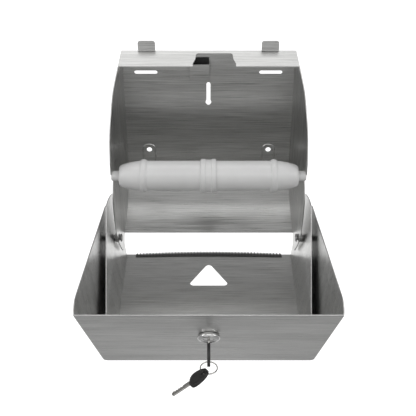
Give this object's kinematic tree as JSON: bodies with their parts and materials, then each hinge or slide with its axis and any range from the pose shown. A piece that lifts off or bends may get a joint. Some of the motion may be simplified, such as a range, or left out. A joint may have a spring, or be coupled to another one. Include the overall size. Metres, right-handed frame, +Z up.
{
  "type": "toilet paper holder",
  "caption": "Wall-mounted lockable steel holder for a wide paper roll, with a hinged cover, a sprung spindle, a cam lock and a tear edge.",
  "frame": {"origin": "on the wall face of the back plate, midway between the two lower screw holes", "axes": "+X to the viewer's right, +Y into the wall, -Y out towards the user, +Z up; stored with the cover open"},
  "size_m": [0.2888, 0.3305, 0.3149],
  "materials": {
    "sheet_steel": "brushed stainless sheet, grain across the width",
    "cutting_steel": "ground cutting strip",
    "pin_steel": "zinc plated",
    "black_pad": "matte",
    "white_plastic": "satin moulded",
    "spring_wire": "drawn wire",
    "lock_chrome": "polished",
    "key_nickel": "nickel plated",
    "key_plastic": "satin moulded"
  },
  "bodies": {
    "housing": {"back_housing": "sheet_steel", "stop_tab_left": "sheet_steel", "stop_tab_right": "sheet_steel", "lock_strike": "sheet_steel", "strike_pad": "black_pad", "hinge_pin_left": "pin_steel", "hinge_pin_right": "pin_steel", "hinge_spacer_left": "pin_steel", "hinge_spacer_right": "pin_steel", "hinge_clip_left": "pin_steel", "hinge_clip_right": "pin_steel"},
    "cover": {"cover_shell": "sheet_steel", "hinge_arm_left": "sheet_steel", "hinge_arm_right": "sheet_steel", "tear_bar": "cutting_steel", "lock_body": "lock_chrome", "lock_nut": "pin_steel"},
    "lock_plug": {"lock_core": "lock_chrome", "lock_cam": "pin_steel", "cam_screw": "pin_steel", "key_blade": "key_nickel", "key_grip": "key_plastic"},
    "ring": {"key_ring": "key_nickel"},
    "spare_key": {"spare_key_grip": "key_plastic", "spare_key_blade": "key_nickel"},
    "spindle": {"spindle_sleeve": "white_plastic", "spindle_spring": "spring_wire"},
    "plunger": {"spindle_plunger": "white_plastic"}
  },
  "joints": [
    {"name": "cover_hinge", "type": "hinge", "parent": "housing", "child": "cover", "pos_m": [0, -0.0816, -0.0891], "axis": [-1, 0, 0], "range_deg": [0, 90]},
    {"name": "lock_turn", "type": "hinge", "parent": "cover", "child": "lock_plug", "pos_m": [0, -0.29178, -0.06887], "axis": [0, -0.8763, -0.4818], "range_deg": [0, 90]},
    {"name": "ring_swing", "type": "hinge", "parent": "lock_plug", "child": "ring", "pos_m": [0, -0.31877, -0.08371], "axis": [1, 0, 0], "range_deg": [-45, 25]},
    {"name": "spare_key_swing", "type": "hinge", "parent": "ring", "child": "spare_key", "pos_m": [-0.00451, -0.31877, -0.10178], "axis": [0.8829, 0, -0.4695], "range_deg": [-40, 15]},
    {"name": "spindle_spin", "type": "hinge", "parent": "housing", "child": "spindle", "pos_m": [0, -0.0914, 0.0156], "axis": [1, 0, 0], "continuous": true},
    {"name": "plunger_slide", "type": "slide", "parent": "spindle", "child": "plunger", "axis": [-1, 0, 0], "range_m": [0, 0.012], "stiffness_N_per_m": 300, "springref_m": -0.01, "deforming": ["spindle_spring"]}
  ]
}
